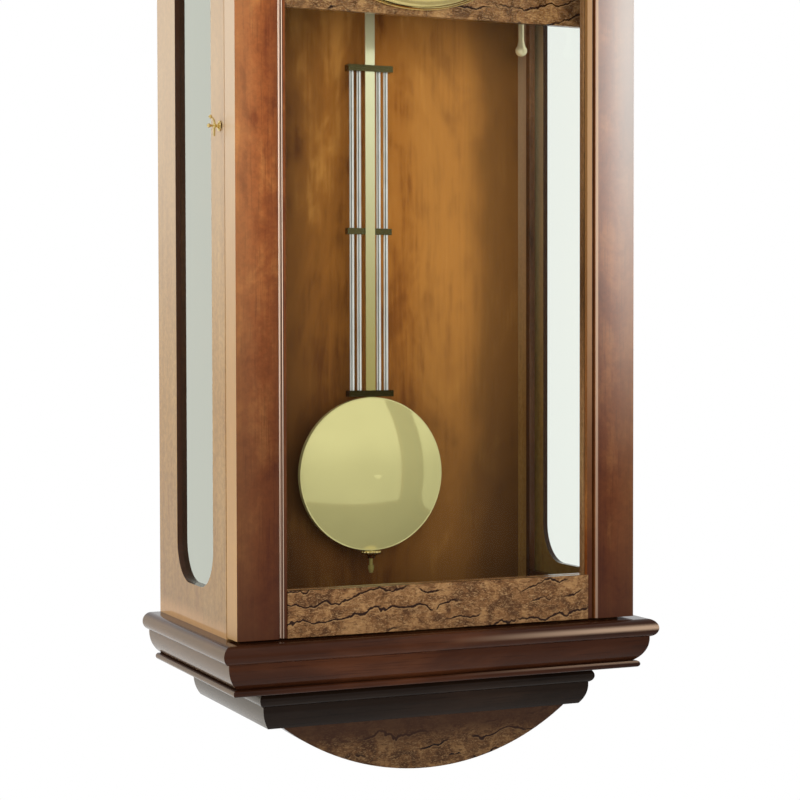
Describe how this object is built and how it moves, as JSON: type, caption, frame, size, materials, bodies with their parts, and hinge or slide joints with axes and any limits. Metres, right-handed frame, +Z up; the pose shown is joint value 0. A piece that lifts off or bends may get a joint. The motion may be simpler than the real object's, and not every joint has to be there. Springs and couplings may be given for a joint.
{
  "type": "chiming wall clock",
  "caption": "Chiming wall clock: wooden case with a glazed door and side windows, stepped base and crown, gridiron pendulum, spring movement and rod chime.",
  "frame": {"origin": "centre of the round part of the keyhole in the hanger plate, on the back plane that lies against the wall", "axes": "+Z up, +Y into the wall, -Y is the front, +X to the right when facing the front"},
  "size_m": [0.3492, 0.2006, 0.949],
  "materials": {
    "panel_wood": "semi-gloss lacquer",
    "frame_wood": "semi-gloss lacquer",
    "moulding_wood": "semi-gloss lacquer, dark stain",
    "burl": "burl veneer, semi-gloss lacquer",
    "back_veneer": "figured veneer, satin",
    "glass": "clear",
    "brass": "polished, lacquered",
    "steel": "satin",
    "chrome": "polished",
    "bar_metal": "dark bronze, satin",
    "dial_metal": "brushed, lacquered",
    "chapter": "satin",
    "hand_black": "gloss",
    "iron": "painted"
  },
  "bodies": {
    "case": {"side_panel_left": "panel_wood", "side_panel_right": "panel_wood", "back_panel": "back_veneer", "side_glass": "glass", "window_beads": "frame_wood", "base_moulding_upper": "moulding_wood", "base_moulding_lower": "moulding_wood", "apron": "burl", "crown_moulding_lower": "moulding_wood", "crown_moulding_upper": "moulding_wood", "pediment": "burl", "hanger_plate": "steel", "hinge_case_leaves": "brass", "dial_board": "burl", "dial_plate": "dial_metal", "chapter_ring": "chapter", "bezel": "brass", "movement_shelf": "frame_wood", "front_plate": "brass", "rear_plate": "brass", "suspension_bracket": "brass", "chime_block": "iron", "chime_rods": "brass", "hammer_frame": "brass"},
    "door": {"stile_left": "frame_wood", "stile_right": "frame_wood", "top_rail": "burl", "bottom_rail": "burl", "door_glass": "glass", "glass_stops": "frame_wood", "hinge_door_leaves": "brass", "latch_strike": "brass"},
    "latch": {"latch_key": "brass"},
    "pendulum": {"pendulum_leader": "brass", "pendulum_strip": "brass", "pendulum_bars": "bar_metal", "pendulum_rods": "chrome", "pendulum_bob": "brass"},
    "nut": {"rating_nut": "brass"},
    "anchor_and_crutch": {"anchor": "steel"},
    "minute_arbor": {"centre_wheel": "brass", "minute_hand": "hand_black"},
    "motion_wheel": {"minute_wheel": "brass"},
    "hour_pipe": {"hour_wheel": "brass", "hour_hand": "hand_black"},
    "third_arbor": {"third_wheel": "brass"},
    "escape_arbor": {"escape_wheel": "brass"},
    "time_spring_barrel": {"time_barrel": "brass"},
    "strike_spring_barrel": {"strike_barrel": "brass"},
    "chime_spring_barrel": {"chime_barrel": "brass"},
    "time_winding": {"time_arbor": "steel"},
    "strike_winding": {"strike_arbor": "steel"},
    "chime_winding": {"chime_arbor": "steel"},
    "drum": {"chime_drum": "brass"},
    "hammer_a": {"hammer_1": "brass"},
    "hammer_b": {"hammer_2": "brass"},
    "hammer_c": {"hammer_3": "brass"},
    "hammer_d": {"hammer_4": "brass"},
    "silencer": {"silence_rod": "brass"}
  },
  "joints": [
    {"name": "door_hinge", "type": "hinge", "parent": "case", "child": "door", "pos_m": [0.1627, -0.1632, -0.3225], "axis": [0, 0, 1], "range_deg": [0, 110]},
    {"name": "latch_turn", "type": "hinge", "parent": "case", "child": "latch", "pos_m": [-0.155, -0.156, -0.324], "axis": [1, 0, 0], "range_deg": [0, 90]},
    {"name": "pendulum_swing", "type": "hinge", "parent": "case", "child": "pendulum", "pos_m": [0, -0.045, -0.073], "axis": [0, 1, 0], "range_deg": [-3, 3]},
    {"name": "rating_nut_turn", "type": "hinge", "parent": "pendulum", "child": "nut", "pos_m": [0, -0.048, -0.647], "axis": [0, 0, 1], "continuous": true},
    {"name": "anchor_rock", "type": "hinge", "parent": "case", "child": "anchor_and_crutch", "pos_m": [0, -0.09, -0.073], "axis": [0, 1, 0], "range_deg": [-3, 3]},
    {"name": "minute_turn", "type": "hinge", "parent": "case", "child": "minute_arbor", "pos_m": [0, -0.095, -0.115], "axis": [0, 1, 0], "continuous": true},
    {"name": "motion_wheel_turn", "type": "hinge", "parent": "case", "child": "motion_wheel", "pos_m": [-0.012, -0.125, -0.115], "axis": [0, 1, 0], "continuous": true},
    {"name": "hour_turn", "type": "hinge", "parent": "case", "child": "hour_pipe", "pos_m": [0, -0.135, -0.115], "axis": [0, 1, 0], "continuous": true},
    {"name": "third_turn", "type": "hinge", "parent": "case", "child": "third_arbor", "pos_m": [0.01535, -0.095, -0.09787], "axis": [0, 1, 0], "continuous": true},
    {"name": "escape_turn", "type": "hinge", "parent": "case", "child": "escape_arbor", "pos_m": [0, -0.095, -0.08847], "axis": [0, 1, 0], "continuous": true},
    {"name": "time_barrel_turn", "type": "hinge", "parent": "case", "child": "time_spring_barrel", "pos_m": [0, -0.095, -0.1438], "axis": [0, 1, 0], "continuous": true},
    {"name": "strike_barrel_turn", "type": "hinge", "parent": "case", "child": "strike_spring_barrel", "pos_m": [-0.05, -0.095, -0.127], "axis": [0, 1, 0], "continuous": true},
    {"name": "chime_barrel_turn", "type": "hinge", "parent": "case", "child": "chime_spring_barrel", "pos_m": [0.05, -0.095, -0.127], "axis": [0, 1, 0], "continuous": true},
    {"name": "time_winding_turn", "type": "hinge", "parent": "case", "child": "time_winding", "pos_m": [0, -0.105, -0.1438], "axis": [0, 1, 0], "continuous": true},
    {"name": "strike_winding_turn", "type": "hinge", "parent": "case", "child": "strike_winding", "pos_m": [-0.05, -0.105, -0.127], "axis": [0, 1, 0], "continuous": true},
    {"name": "chime_winding_turn", "type": "hinge", "parent": "case", "child": "chime_winding", "pos_m": [0.05, -0.105, -0.127], "axis": [0, 1, 0], "continuous": true},
    {"name": "drum_turn", "type": "hinge", "parent": "case", "child": "drum", "pos_m": [0.053, -0.056, -0.085], "axis": [1, 0, 0], "continuous": true},
    {"name": "hammer_a_swing", "type": "hinge", "parent": "case", "child": "hammer_a", "pos_m": [0.035, -0.056, -0.067], "axis": [1, 0, 0], "range_deg": [-5, 10], "stiffness_Nm_per_rad": 0.3},
    {"name": "hammer_b_swing", "type": "hinge", "parent": "case", "child": "hammer_b", "pos_m": [0.047, -0.056, -0.067], "axis": [1, 0, 0], "range_deg": [-5, 10], "stiffness_Nm_per_rad": 0.3},
    {"name": "hammer_c_swing", "type": "hinge", "parent": "case", "child": "hammer_c", "pos_m": [0.059, -0.056, -0.067], "axis": [1, 0, 0], "range_deg": [-5, 10], "stiffness_Nm_per_rad": 0.3},
    {"name": "hammer_d_swing", "type": "hinge", "parent": "case", "child": "hammer_d", "pos_m": [0.071, -0.056, -0.067], "axis": [1, 0, 0], "range_deg": [-5, 10], "stiffness_Nm_per_rad": 0.3},
    {"name": "silence_pull", "type": "slide", "parent": "case", "child": "silencer", "axis": [0, 0, 1], "range_m": [-0.008, 0]}
  ],
  "couplings": [
    {"joint": "anchor_rock", "follows": "pendulum_swing", "ratio": 1},
    {"joint": "motion_wheel_turn", "follows": "minute_turn", "ratio": -0.33333},
    {"joint": "hour_turn", "follows": "minute_turn", "ratio": 0.083333},
    {"joint": "third_turn", "follows": "minute_turn", "ratio": -10.5},
    {"joint": "escape_turn", "follows": "minute_turn", "ratio": 84},
    {"joint": "time_barrel_turn", "follows": "minute_turn", "ratio": -0.14286},
    {"joint": "drum_turn", "follows": "chime_barrel_turn", "ratio": 12}
  ]
}
